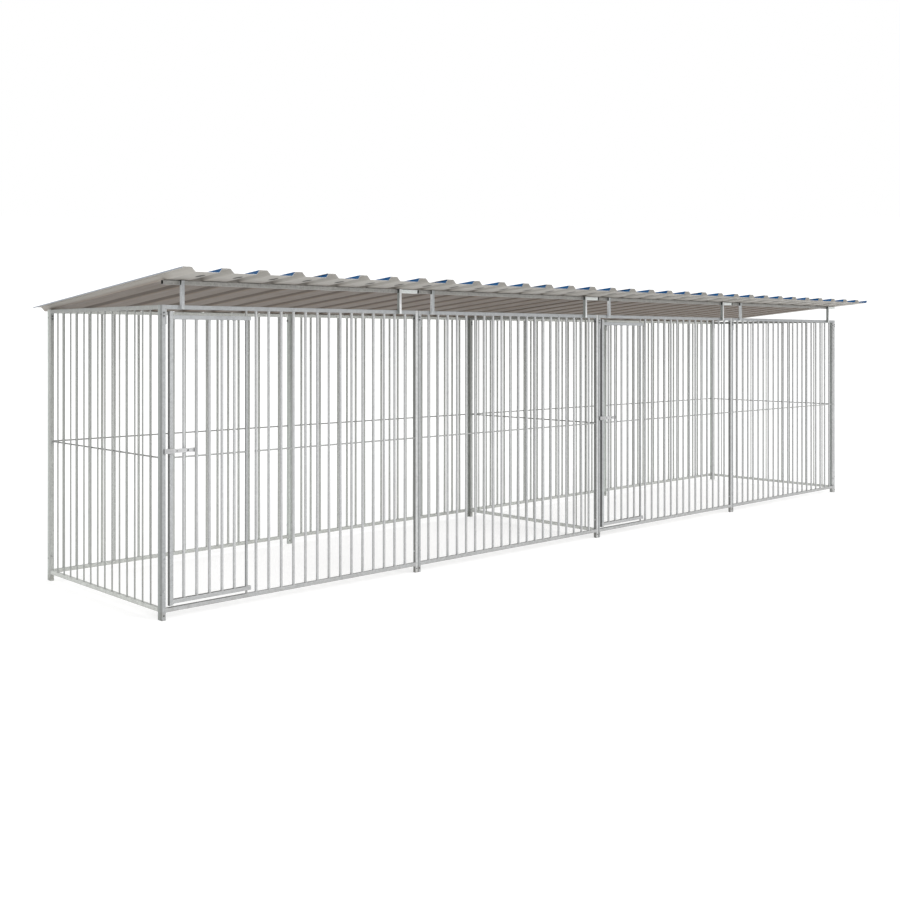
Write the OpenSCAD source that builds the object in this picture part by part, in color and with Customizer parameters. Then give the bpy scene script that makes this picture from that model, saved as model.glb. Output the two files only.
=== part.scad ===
// Two-bay outdoor kennel run in galvanised steel: bar panels, two hinged doors with
// sliding bolts, a middle partition and a mono-pitch roof of ribbed sheet.
// Front is -Y, the run is long in X, the ground is Z = 0.

/* [Panels] */
// Width of one front or rear panel
panel_w = 2000; // [1960:5:2060]
// Height of every panel, feet included
panel_h = 1840; // [1780:5:1900]
// Depth of the side panels and of the partition
side_d = 1500; // [1400:5:1600]
// Outer width of the square frame tube
tube = 25; // [24:0.5:26]
// Wall of the square frame tube
tube_wall = 1.5; // [1.2:0.1:2]
// Outer corner radius of the square frame tube
tube_r = 2.4; // [1.5:0.1:3]
// Outer diameter of the upright bars
bar_d = 18; // [16:0.5:19]
// Wall of the upright bars
bar_wall = 1.2; // [1:0.1:1.5]
// Bars in a plain front or rear panel
bars_front = 20; // [18:1:21]
// Bars in a side panel
bars_side = 14; // [12:1:15]
// Diameter of the solid bars in the side panels and the partition
side_bar_d = 10; // [8:0.5:11]
// Diameter of the tie rods, threaded through the tube bars and welded behind the solid ones
rod_d = 10; // [8:0.5:11]
// Height of the tie rod above the ground
rod_z = 945; // [900:5:960]
// Clear height under the bottom rail
foot_h = 46; // [40:1:52]
// Diameter of the anchor hole in each foot
anchor_d = 9; // [8:0.5:10]
// Height of the anchor hole above the ground
anchor_z = 28; // [24:1:32]

/* [Doors] */
// Gap between the panel's post and the door's stile
door_gap = 25; // [22:0.5:30]
// Hinge line, measured from the panel's left edge
hinge_x = 585; // [580:1:590]
// Upright bars in a door
door_bars = 5; // [4:1:6]
// First fixed bar beside the door, measured from the panel's left edge
fixed_x = 656; // [645:1:665]
// Fixed bars beside the door
fixed_bars = 14; // [12:1:14]
// Gap between the panel's bottom rail and the door's
door_low_gap = 19; // [16:1:24]
// Gap between the panel's top rail and the door's
door_top_gap = 34; // [30:1:40]
// How far the door's rails run past the hinge line
rail_past = 27; // [20:1:30]
// Diameter of the pivot pins
pin_d = 10; // [8:0.5:11]
// Radial running clearance on the pivot pins
pin_clear = 0.05; // [0.03:0.01:0.08]

/* [Latch] */
// Height of the latch above the ground
latch_z = 985; // [975:1:1000]
// Height of the sliding bolt
bolt_h = 25; // [22:0.5:26]
// Thickness of the sliding bolt, a flat box section
bolt_t = 7; // [6:0.5:8]
// How far the finger tab stands out from the sliding bolt
tab_out = 9; // [8:0.5:16]
// Diameter of the locking hole in the bolt
lock_d = 11; // [9:0.5:12]

/* [Roof] */
// Rise of the front purlin above the panels
purlin_rise = 145; // [120:5:170]
// Gap between the ends of neighbouring purlins
purlin_gap = 15; // [10:1:20]
// Centre of a panel's left roof post, from the panel's left edge
stem_left = 125; // [110:5:150]
// Centre of a panel's right roof post, from the panel's right edge
stem_right = 185; // [150:5:200]
// Overhang of the roof in front of the panels
front_over = 330; // [270:10:360]
// Overhang of the roof behind the panels
rear_over = 100; // [60:10:140]
// Overhang of the roof at each side
side_over = 60; // [40:5:80]
// Height of the roof's ribs
rib_h = 27; // [20:1:32]
// Width of a rib's crest
crest_w = 54; // [50:1:66]
// Plan width of a rib's sloping web
web_w = 23; // [18:1:26]
// Thickness of the roof sheet
sheet_t = 1; // [0.8:0.1:1.2]
// How far the roof's left edge is turned down
edge_drop = 8; // [5:0.5:9]

/* [Hidden] */
$fn = 48;

GALV = [0.74, 0.75, 0.76];
ZINC = [0.66, 0.67, 0.68];
BLUE = [0.08, 0.31, 0.59];

run_l = 4 * panel_w;
y_cross = tube;                       // front face of the side panels
y_rear = tube + side_d;               // front face of the rear panels
run_d = y_rear + tube;
z_low = foot_h;                       // underside of the bottom rail
z_bar0 = foot_h + tube;               // bars stand on the bottom rail
z_bar1 = panel_h - tube;              // and reach the top rail
mid = tube / 2;
rod_hole = rod_d + 0.4;
cross_x = [0, 2 * panel_w, run_l - tube];   // left edges of side, partition, side
cross_out = [-1, -1, 1];                    // side of their middle on which the bars stand

// Upper and lower bolts between panels
joint_z = [panel_h - 54.5, 150];
corner_z = [panel_h - 45, panel_h - 64, 170];

// Door levels
door_z0 = z_bar0 + door_low_gap;      // underside of the door's bottom rail
door_z1 = z_bar1 - door_top_gap;      // top of the door's top rail
stile_x = tube + door_gap;
door_pitch = (hinge_x - stile_x - mid) / (door_bars + 1);
fixed_pitch = (panel_w - tube - bar_d / 2 - 80 - fixed_x) / (fixed_bars - 1);
door_x = [0, 2 * panel_w];

// Roof: the underside of the valleys lies on the purlins and the rear top rails
z_purlin = panel_h + purlin_rise;
slope = atan(purlin_rise / (run_d - tube));
lap = 8;
sheets = 8;
ribs = 4;
end_f = (rib_h - sheet_t - 1) / rib_h;
pitch = (run_l + 2 * side_over - lap + web_w * (1 - end_f)) / (sheets * ribs);
roof_y0 = -front_over;
roof_z0 = z_purlin + 0.3 + (tube - roof_y0) * tan(slope);
sheet_l = (front_over + run_d + rear_over) / cos(slope);
screw_s = [(mid - roof_y0) / cos(slope), (run_d - mid - roof_y0) / cos(slope)];
roof_y1 = roof_y0 + sheet_l * cos(slope) + (rib_h + sheet_t) * sin(slope);

// The part's origin is under the middle of its own box, on the ground
module placed() { translate([-run_l / 2, -(roof_y0 + roof_y1) / 2, 0]) children(); }

function rounded(w, d, r) = [
  for (c = [[w - r, d - r, 0], [r, d - r, 90], [r, r, 180], [w - r, r, 270]])
    for (a = [0 : 30 : 90]) [c[0] + r * cos(c[2] + a), c[1] + r * sin(c[2] + a)]];

// Square or flat tube of outer size w by d, standing on z = 0; a closed one has a welded lid
module tube_up(w, d, l, closed = false) {
  difference() {
    linear_extrude(l) polygon(rounded(w, d, tube_r));
    translate([tube_wall, tube_wall, -1])
      cube([w - 2 * tube_wall, d - 2 * tube_wall, closed ? l + 1 - 2 : l + 2]);
  }
}
module tube_x(l, h = tube) { rotate([90, 0, 90]) tube_up(tube, h, l); }
module tube_y(l) { translate([0, 0, tube]) rotate([-90, 0, 0]) tube_up(tube, tube, l); }
module hole_x(d, l) { rotate([0, 90, 0]) cylinder(d = d, h = l); }
module hole_y(d, l) { rotate([-90, 0, 0]) cylinder(d = d, h = l); }

// Round upright bar from z0 to z1, drilled for the tie rod
module bar(z0, z1) {
  difference() {
    translate([0, 0, z0]) cylinder(d = bar_d, h = z1 - z0);
    translate([0, 0, z0 - 1]) cylinder(d = bar_d - 2 * bar_wall, h = z1 - z0 + 2);
    translate([-bar_d, 0, rod_z]) hole_x(rod_hole, 2 * bar_d);
  }
}

// ---- front and rear panels: x0 is the left edge, y0 the front face ----
module post_pair(x0, y0) {
  for (x = [x0, x0 + panel_w - tube])
    difference() {
      translate([x, y0, 0]) tube_up(tube, tube, panel_h, true);
      for (z = joint_z) translate([x - 1, y0 + mid, z]) hole_x(9, tube + 2);
      if (x == x0 || x == run_l - tube)
        for (z = corner_z) translate([x + mid, y0 - 1, z]) hole_y(6.5, tube + 2);
      translate([x + mid, y0 - 1, anchor_z]) hole_y(anchor_d, tube + 2);
    }
}
module screw_row(row, r, z0, z1) {
  for (i = [0 : sheets * ribs - 1])
    translate([-side_over + lap + i * pitch + (crest_w + pitch) / 2, roof_y0, roof_z0])
      rotate([-slope, 0, 0]) translate([0, screw_s[row], z0]) cylinder(r = r, h = z1 - z0);
}
module rail_pair(x0, y0, screwed = false) {
  translate([x0 + tube, y0, z_low]) tube_x(panel_w - 2 * tube);
  difference() {
    translate([x0 + tube, y0, z_bar1]) tube_x(panel_w - 2 * tube);
    if (screwed)
      intersection() {
        screw_row(1, 2.9, -8, 1);
        translate([x0, y0 - 50, z_bar1]) cube([panel_w, 150, 100]);
      }
  }
}
module plain_bars(x0, y0) {
  gap = (panel_w - 2 * tube - bars_front * bar_d) / (bars_front + 1);
  for (i = [0 : bars_front - 1])
    translate([x0 + tube + gap + bar_d / 2 + i * (gap + bar_d), y0 + mid, 0]) bar(z_bar0, z_bar1);
}
module fixed_bars_at(x0) {
  for (i = [0 : fixed_bars - 1])
    translate([x0 + fixed_x + i * fixed_pitch, mid, 0]) bar(z_bar0, z_bar1);
}

// ---- side panels and partition: x0 is the left face ----
module cross_posts(x0) {
  for (y = [y_cross, y_rear - tube])
    difference() {
      translate([x0, y, 0]) tube_up(tube, tube, panel_h, true);
      for (z = corner_z) translate([x0 + mid, y - 1, z]) hole_y(6.5, tube + 2);
    }
}
module cross_rails(x0) {
  for (z = [z_low, z_bar1]) translate([x0, y_cross + tube, z]) tube_y(side_d - 2 * tube);
}
module cross_bars(k) {
  pitch_y = (side_d - 2 * tube) / (bars_side + 1);
  for (i = [1 : bars_side])
    translate([cross_x[k] + mid + cross_out[k] * side_bar_d / 2, y_cross + tube + i * pitch_y, z_bar0])
      cylinder(d = side_bar_d, h = z_bar1 - z_bar0);
}

// ---- doors: x0 is the left edge of the door's panel ----
module door_uprights(x0) {
  difference() {
    translate([x0 + stile_x, 0, door_z0 - 10]) tube_up(tube, tube, door_z1 - door_z0 + 33, true);
    translate([x0 + stile_x + tube - tube_wall - 0.5, mid, rod_z]) hole_x(rod_hole, tube_wall + 1);
  }
  translate([x0 + hinge_x, mid, 0]) bar(door_z0 + tube, door_z1 - tube);
}
module door_rails(x0) {
  for (z = [door_z0, door_z1 - tube])
    difference() {
      translate([x0 + stile_x + tube, 0, z]) tube_x(hinge_x + rail_past - stile_x - tube);
      translate([x0 + hinge_x, mid, z - 1]) cylinder(d = pin_d + 2 * pin_clear, h = tube + 2);
    }
}
module door_bar_set(x0) {
  for (i = [1 : door_bars])
    translate([x0 + stile_x + mid + i * door_pitch, mid, 0]) bar(door_z0 + tube, door_z1 - tube);
}
module door_rod(x0) {
  translate([x0 + stile_x + tube - tube_wall, mid, rod_z]) hole_x(rod_d, hinge_x - stile_x - tube + tube_wall);
}
// Flat sleeve welded to the front of the stile; it reaches over the post's face as the door's stop
module latch_guide(x0) {
  w = bolt_h + 4;
  difference() {
    translate([x0 + 12, -bolt_t - 5, latch_z - w / 2]) cube([stile_x + tube - 4 - 12, bolt_t + 5, w]);
    translate([x0 + 11, -bolt_t - 3.3, latch_z - bolt_h / 2 - 0.3])
      cube([100, bolt_t + 0.6, bolt_h + 0.6]);
    translate([x0 + 11, -0.6, latch_z - w]) cube([stile_x - 11 - 0.5, 2, 2 * w]);
  }
}
// Sliding bolt: flat box section with a turned-out finger tab and a locking hole
module latch_bolt(x0) {
  translate([x0, -bolt_t - 3, latch_z - bolt_h / 2]) {
    difference() {
      translate([13, 0, 0]) cube([196, bolt_t, bolt_h]);
      translate([14.5, 1.5, 1.5]) cube([193, bolt_t - 3, bolt_h - 3]);
      translate([165, -1, bolt_h / 2]) hole_y(lock_d, 2.6);
    }
    translate([206, -tab_out, 0]) cube([3, tab_out + 0.5, bolt_h]);
    for (x = [93, 198]) translate([x, 0.5, bolt_h / 2]) rotate([90, 0, 0]) cylinder(d = 7, h = 2);
  }
}
// Shouldered pins on the panel's rails; the lower one carries the door
module pivot_pins(x0) {
  translate([x0 + hinge_x, mid, z_bar0]) {
    cylinder(d = 14, h = door_low_gap - 0.1);
    cylinder(d = pin_d, h = door_low_gap + 60);
  }
  translate([x0 + hinge_x, mid, door_z1 - 60]) {
    cylinder(d = pin_d, h = 60 + door_top_gap);
    translate([0, 0, 63]) cylinder(d = 14, h = door_top_gap - 3);
  }
}

// ---- fasteners ----
module hex(af, h) { cylinder(r = af / sqrt(3), h = h, $fn = 6); }
module joint_places() {
  for (y = [mid, y_rear + mid]) for (i = [1 : 3]) for (k = [0, 1])
    translate([i * panel_w, y, joint_z[k]]) rotate([0, 90, 0]) {
      $plate = k == 0 ? 6 : 0;
      children();
    }
}
// Through a cross panel's post as well, or through the left post alone where none stands behind it
module corner_places() {
  for (c = concat([for (x = cross_x) [x, 2 * tube]], [for (i = [1, 3]) [i * panel_w, tube]]))
    for (z = corner_z) for (rear = [0, 1])
      translate([c[0] + mid, rear * run_d, z]) rotate([rear == 0 ? -90 : 90, 0, 0]) {
        $grip = c[1];
        children();
      }
}
module plate_set() {
  for (y = [0, y_rear]) for (i = [0 : 3])
    difference() {
      translate([i * panel_w + tube, y + 1, z_bar1 - 88]) cube([6, tube - 2, 88]);
      translate([i * panel_w + tube - 1, y + mid, joint_z[0]]) hole_x(9, 8);
    }
}

// ---- roof ----
module sheet_profile(first) {
  low = concat(
    first ? [[-lap, rib_h - edge_drop], [0, rib_h]] : [[-lap, rib_h]],
    [for (k = [0 : ribs - 1]) each [
      [k * pitch + crest_w, rib_h],
      [k * pitch + crest_w + web_w, 0],
      [(k + 1) * pitch - web_w, 0],
      k < ribs - 1 ? [(k + 1) * pitch, rib_h]
                   : [(k + 1) * pitch - web_w * (1 - end_f), rib_h * end_f]]]);
  n = len(low);
  polygon(concat([for (p = low) [p[0], -p[1]]],
                 [for (i = [n - 1 : -1 : 0]) [low[i][0], -low[i][1] - sheet_t]]));
}
module sheet(i) {
  difference() {
    translate([-side_over + lap + i * ribs * pitch, roof_y0, roof_z0]) rotate([-slope, 0, 0])
      rotate([-90, 0, 0]) linear_extrude(sheet_l) sheet_profile(i == 0);
    for (k = [0 : ribs - 1]) for (s = screw_s)
      translate([-side_over + lap + (i * ribs + k) * pitch + (crest_w + pitch) / 2, roof_y0, roof_z0])
        rotate([-slope, 0, 0]) translate([0, s, -2]) cylinder(r = 2.9, h = 6);
  }
}
module roof_screw() {
  translate([0, 0, -18]) cylinder(r = 2.6, h = 19 + sheet_t);
  translate([0, 0, sheet_t]) cylinder(r = 7.5, h = 1.8);
  translate([0, 0, sheet_t + 1.8]) hex(8, 4.4);
}
module purlin_set() {
  difference() {
    for (i = [0 : 3])
      translate([i * panel_w + purlin_gap / 2, 0, z_purlin - tube]) tube_x(panel_w - purlin_gap);
    screw_row(0, 2.9, -8, 1);
  }
}
module stem_set() {
  for (i = [0 : 3]) for (x = [stem_left, panel_w - stem_right])
    translate([i * panel_w + x - 10, -tube, z_bar1]) tube_up(20, tube, z_purlin - z_bar1, true);
}

// ---- nodes ----
module front_panel_1_posts() { color(GALV) placed() post_pair(0, 0); }
module front_panel_1_rails() { color(GALV) placed() rail_pair(0, 0); }
module front_panel_1_bars() { color(GALV) placed() fixed_bars_at(0); }
module front_panel_2_posts() { color(GALV) placed() post_pair(panel_w, 0); }
module front_panel_2_rails() { color(GALV) placed() rail_pair(panel_w, 0); }
module front_panel_2_bars() { color(GALV) placed() plain_bars(panel_w, 0); }
module front_panel_3_posts() { color(GALV) placed() post_pair(2 * panel_w, 0); }
module front_panel_3_rails() { color(GALV) placed() rail_pair(2 * panel_w, 0); }
module front_panel_3_bars() { color(GALV) placed() fixed_bars_at(2 * panel_w); }
module front_panel_4_posts() { color(GALV) placed() post_pair(3 * panel_w, 0); }
module front_panel_4_rails() { color(GALV) placed() rail_pair(3 * panel_w, 0); }
module front_panel_4_bars() { color(GALV) placed() plain_bars(3 * panel_w, 0); }
module rear_panel_1_posts() { color(GALV) placed() post_pair(0, y_rear); }
module rear_panel_1_rails() { color(GALV) placed() rail_pair(0, y_rear, true); }
module rear_panel_1_bars() { color(GALV) placed() plain_bars(0, y_rear); }
module rear_panel_2_posts() { color(GALV) placed() post_pair(panel_w, y_rear); }
module rear_panel_2_rails() { color(GALV) placed() rail_pair(panel_w, y_rear, true); }
module rear_panel_2_bars() { color(GALV) placed() plain_bars(panel_w, y_rear); }
module rear_panel_3_posts() { color(GALV) placed() post_pair(2 * panel_w, y_rear); }
module rear_panel_3_rails() { color(GALV) placed() rail_pair(2 * panel_w, y_rear, true); }
module rear_panel_3_bars() { color(GALV) placed() plain_bars(2 * panel_w, y_rear); }
module rear_panel_4_posts() { color(GALV) placed() post_pair(3 * panel_w, y_rear); }
module rear_panel_4_rails() { color(GALV) placed() rail_pair(3 * panel_w, y_rear, true); }
module rear_panel_4_bars() { color(GALV) placed() plain_bars(3 * panel_w, y_rear); }
module left_side_posts() { color(GALV) placed() cross_posts(cross_x[0]); }
module left_side_rails() { color(GALV) placed() cross_rails(cross_x[0]); }
module left_side_bars() { color(GALV) placed() cross_bars(0); }
module partition_posts() { color(GALV) placed() cross_posts(cross_x[1]); }
module partition_rails() { color(GALV) placed() cross_rails(cross_x[1]); }
module partition_bars() { color(GALV) placed() cross_bars(1); }
module right_side_posts() { color(GALV) placed() cross_posts(cross_x[2]); }
module right_side_rails() { color(GALV) placed() cross_rails(cross_x[2]); }
module right_side_bars() { color(GALV) placed() cross_bars(2); }
module tie_rods() {
  color(GALV) placed() {
    for (i = [0 : 3]) {
      x0 = i * panel_w + (i % 2 == 0 ? fixed_x : tube);
      translate([x0, mid, rod_z]) hole_x(rod_d, (i + 1) * panel_w - tube - x0);
      translate([i * panel_w + tube, y_rear + mid, rod_z]) hole_x(rod_d, panel_w - 2 * tube);
    }
    for (k = [0 : 2])
      translate([cross_x[k] + mid - cross_out[k] * (rod_d / 2 + 0.05), y_cross + tube, rod_z])
        hole_y(rod_d, side_d - 2 * tube);
  }
}
module door_1_uprights() { color(GALV) placed() door_uprights(door_x[0]); }
module door_1_rails() { color(GALV) placed() door_rails(door_x[0]); }
module door_1_bars() { color(GALV) placed() door_bar_set(door_x[0]); }
module door_1_tie_rod() { color(GALV) placed() door_rod(door_x[0]); }
module door_1_latch_guide() { color(ZINC) placed() latch_guide(door_x[0]); }
module door_1_latch_bolt() { color(ZINC) placed() latch_bolt(door_x[0]); }
module door_2_uprights() { color(GALV) placed() door_uprights(door_x[1]); }
module door_2_rails() { color(GALV) placed() door_rails(door_x[1]); }
module door_2_bars() { color(GALV) placed() door_bar_set(door_x[1]); }
module door_2_tie_rod() { color(GALV) placed() door_rod(door_x[1]); }
module door_2_latch_guide() { color(ZINC) placed() latch_guide(door_x[1]); }
module door_2_latch_bolt() { color(ZINC) placed() latch_bolt(door_x[1]); }
module door_pivot_pins() { color(ZINC) placed() for (x = door_x) pivot_pins(x); }
module joint_plates() { color(GALV) placed() plate_set(); }
module joint_bolts() {
  color(ZINC) placed() joint_places() {
    translate([0, 0, -tube - 5.3]) hex(13, 5.3);
    translate([0, 0, -tube - 1]) cylinder(d = 8, h = 2 * tube + 1 + $plate + 9);
  }
}
module joint_nuts() {
  color(ZINC) placed() joint_places()
    translate([0, 0, tube + $plate]) difference() {
      hex(13, 6.5);
      translate([0, 0, -1]) cylinder(d = 8.2, h = 9);
    }
}
module corner_bolts() {
  color(ZINC) placed() corner_places() {
    translate([0, 0, -4]) hex(10, 4);
    translate([0, 0, -1]) cylinder(d = 6, h = $grip + 8.5);
  }
}
module corner_nuts() {
  color(ZINC) placed() corner_places()
    translate([0, 0, $grip]) difference() {
      hex(10, 5);
      translate([0, 0, -1]) cylinder(d = 6.2, h = 7);
    }
}
module roof_purlins() { color(GALV) placed() purlin_set(); }
module roof_posts() { color(GALV) placed() stem_set(); }
module roof_sheets_left() { color(BLUE) placed() for (i = [0 : 3]) sheet(i); }
module roof_sheets_right() { color(BLUE) placed() for (i = [4 : 7]) sheet(i); }
module roof_screws() {
  color(BLUE) placed() for (row = [0, 1]) for (i = [0 : sheets * ribs - 1])
    translate([-side_over + lap + i * pitch + (crest_w + pitch) / 2, roof_y0, roof_z0])
      rotate([-slope, 0, 0]) translate([0, screw_s[row], 0]) roof_screw();
}

front_panel_1_posts();
front_panel_1_rails();
front_panel_1_bars();
front_panel_2_posts();
front_panel_2_rails();
front_panel_2_bars();
front_panel_3_posts();
front_panel_3_rails();
front_panel_3_bars();
front_panel_4_posts();
front_panel_4_rails();
front_panel_4_bars();
rear_panel_1_posts();
rear_panel_1_rails();
rear_panel_1_bars();
rear_panel_2_posts();
rear_panel_2_rails();
rear_panel_2_bars();
rear_panel_3_posts();
rear_panel_3_rails();
rear_panel_3_bars();
rear_panel_4_posts();
rear_panel_4_rails();
rear_panel_4_bars();
left_side_posts();
left_side_rails();
left_side_bars();
partition_posts();
partition_rails();
partition_bars();
right_side_posts();
right_side_rails();
right_side_bars();
tie_rods();
door_1_uprights();
door_1_rails();
door_1_bars();
door_1_tie_rod();
door_1_latch_guide();
door_1_latch_bolt();
door_2_uprights();
door_2_rails();
door_2_bars();
door_2_tie_rod();
door_2_latch_guide();
door_2_latch_bolt();
door_pivot_pins();
joint_plates();
joint_bolts();
joint_nuts();
corner_bolts();
corner_nuts();
roof_purlins();
roof_posts();
roof_sheets_left();
roof_sheets_right();
roof_screws();
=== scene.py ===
"""Looks of a galvanised two-bay dog run with a ribbed mono-pitch roof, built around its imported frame."""

import math

import bpy
import numpy as np
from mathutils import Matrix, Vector


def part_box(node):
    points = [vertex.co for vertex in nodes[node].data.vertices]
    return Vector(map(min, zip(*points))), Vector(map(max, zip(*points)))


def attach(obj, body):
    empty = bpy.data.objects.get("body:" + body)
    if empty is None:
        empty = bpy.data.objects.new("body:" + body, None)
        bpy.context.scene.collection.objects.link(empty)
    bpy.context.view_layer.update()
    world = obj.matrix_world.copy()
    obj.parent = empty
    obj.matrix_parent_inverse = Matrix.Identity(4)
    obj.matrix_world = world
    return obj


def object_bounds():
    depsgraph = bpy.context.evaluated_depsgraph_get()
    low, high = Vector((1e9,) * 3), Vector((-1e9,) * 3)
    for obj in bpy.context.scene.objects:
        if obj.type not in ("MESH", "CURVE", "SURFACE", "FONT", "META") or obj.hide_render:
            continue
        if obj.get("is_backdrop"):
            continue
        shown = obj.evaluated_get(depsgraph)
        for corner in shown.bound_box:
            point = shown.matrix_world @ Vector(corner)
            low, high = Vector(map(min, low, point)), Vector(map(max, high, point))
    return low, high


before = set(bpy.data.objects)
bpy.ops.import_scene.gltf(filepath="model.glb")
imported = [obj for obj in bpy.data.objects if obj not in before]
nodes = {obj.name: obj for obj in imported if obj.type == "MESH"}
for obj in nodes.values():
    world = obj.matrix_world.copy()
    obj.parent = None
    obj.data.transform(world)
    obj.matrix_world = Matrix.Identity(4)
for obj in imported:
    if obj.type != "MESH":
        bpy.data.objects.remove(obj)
cad_lo, cad_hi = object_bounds()
scene = bpy.context.scene
rng = np.random.RandomState(11)

# ---------------------------------------------------------------------------------------------
# Layout of the run in the shared frame, in metres
# ---------------------------------------------------------------------------------------------
PW, TUBE, BAR_R, ROD_R, SIDE_R, CREST = 2.0, 0.025, 0.009, 0.005, 0.005, 0.054
X0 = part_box("front_panel_1_posts")[0].x          # left end of the run
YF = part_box("front_panel_1_posts")[0].y          # front face
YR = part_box("rear_panel_1_posts")[0].y           # front face of the rear panels
Z_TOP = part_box("front_panel_1_posts")[1].z
Z_LOW, Z_BAR0, Z_BAR1, Z_ROD = 0.046, 0.071, 1.815, 0.945
CROSS_X = [X0, X0 + 2 * PW, X0 + 4 * PW - TUBE]
CROSS_OUT = (-1, -1, 1)                  # side of the tube's middle on which a cross panel's bars stand
DOOR_X = [X0, X0 + 2 * PW]
SLOPE = math.atan(0.145 / 1.525)
ROOF_Y0 = YF - 0.330
ROOF_Z0 = 1.985 + 0.0003 + (TUBE - (ROOF_Y0 - YF)) * math.tan(SLOPE)
RIB_PITCH = (4 * PW + 0.120 - 0.008 + 0.023 * (1 - 25 / 27)) / 32
RIB_X0 = X0 - 0.060 + 0.008              # left edge of the first crest

# ---------------------------------------------------------------------------------------------
# Camera: level, with the frame shifted down as the photograph's framing needs
# ---------------------------------------------------------------------------------------------
F_PX, V0, YAW = 1124.8, 338.97, 0.760
cam_data = bpy.data.cameras.new("camera")
cam = bpy.data.objects.new("camera", cam_data)
scene.collection.objects.link(cam)
cam.location = (X0 - 3.290, YF - 5.891, 1.641)
cam.rotation_euler = (math.radians(90), 0, -YAW)
cam_data.sensor_width = 36.0
cam_data.sensor_fit = "AUTO"
cam_data.lens = F_PX / 900 * 36.0
cam_data.shift_y = -(450 - V0) / 900
cam_data.clip_start, cam_data.clip_end = 0.05, 300
scene.camera = cam

# ---------------------------------------------------------------------------------------------
# Node helpers
# ---------------------------------------------------------------------------------------------
class Graph:
    def __init__(self, name):
        self.mat = bpy.data.materials.new(name)
        self.mat.use_nodes = True
        self.t = self.mat.node_tree
        self.t.nodes.clear()
        self.out = self.n("ShaderNodeOutputMaterial")
        self.bsdf = self.n("ShaderNodeBsdfPrincipled")
        self.l(self.bsdf.outputs[0], self.out.inputs[0])
        self.coord = self.n("ShaderNodeTexCoord").outputs["Object"]
        self.geom = self.n("ShaderNodeNewGeometry")

    def n(self, kind):
        return self.t.nodes.new(kind)

    def l(self, a, b):
        self.t.links.new(a, b)

    def scaled(self, sx, sy, sz, src=None):
        m = self.n("ShaderNodeMapping")
        m.inputs["Scale"].default_value = (sx, sy, sz)
        self.l(src or self.coord, m.inputs["Vector"])
        return m.outputs[0]

    def noise(self, vec, scale, detail=3.0, rough=0.55, distort=0.0):
        x = self.n("ShaderNodeTexNoise")
        x.inputs["Scale"].default_value = scale
        x.inputs["Detail"].default_value = detail
        x.inputs["Roughness"].default_value = rough
        x.inputs["Distortion"].default_value = distort
        self.l(vec, x.inputs["Vector"])
        return x.outputs["Fac"]

    def cells(self, vec, scale, feature="F1"):
        x = self.n("ShaderNodeTexVoronoi")
        x.feature = feature
        x.inputs["Scale"].default_value = scale
        self.l(vec, x.inputs["Vector"])
        return x

    def sep(self, vec):
        s = self.n("ShaderNodeSeparateXYZ")
        self.l(vec, s.inputs[0])
        return s.outputs

    def math(self, op, a, b=None, c=None, clamp=False):
        m = self.n("ShaderNodeMath")
        m.operation = op
        m.use_clamp = clamp
        for i, v in enumerate((a, b, c)):
            if v is None:
                continue
            if hasattr(v, "is_linked") or hasattr(v, "links"):
                self.l(v, m.inputs[i])
            else:
                m.inputs[i].default_value = v
        return m.outputs[0]

    def ramp(self, fac, stops, mode="LINEAR"):
        r = self.n("ShaderNodeValToRGB")
        r.color_ramp.interpolation = mode
        e = r.color_ramp.elements
        while len(e) < len(stops):
            e.new(0.5)
        for s, (p, c) in zip(e, stops):
            s.position = p
            s.color = (*c, 1.0) if len(c) == 3 else c
        self.l(fac, r.inputs[0])
        return r.outputs["Color"]

    def span(self, fac, a0, a1, b0, b1, clamp=True):
        m = self.n("ShaderNodeMapRange")
        m.clamp = clamp
        for k, v in zip(("From Min", "From Max", "To Min", "To Max"), (a0, a1, b0, b1)):
            m.inputs[k].default_value = v
        self.l(fac, m.inputs["Value"])
        return m.outputs[0]

    def mix(self, fac, a, b, mode="MIX"):
        m = self.n("ShaderNodeMix")
        m.data_type = "RGBA"
        m.blend_type = mode
        ins = {"f": m.inputs[0], "a": m.inputs[6], "b": m.inputs[7]}
        for k, v in (("f", fac), ("a", a), ("b", b)):
            if isinstance(v, (int, float)):
                ins[k].default_value = v
            elif isinstance(v, tuple):
                ins[k].default_value = (*v, 1.0)
            else:
                self.l(v, ins[k])
        return m.outputs[2]

    def bump(self, height, strength, distance):
        b = self.n("ShaderNodeBump")
        b.inputs["Strength"].default_value = strength
        b.inputs["Distance"].default_value = distance
        self.l(height, b.inputs["Height"])
        self.l(b.outputs[0], self.bsdf.inputs["Normal"])

    def set(self, **values):
        for k, v in values.items():
            self.bsdf.inputs[k.replace("_", " ")].default_value = v


def lin(r, g, b):
    """8-bit display colour to linear."""
    def f(c):
        c = c / 255
        return c / 12.92 if c <= 0.04045 else ((c + 0.055) / 1.055) ** 2.4
    return (f(r), f(g), f(b))


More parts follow.
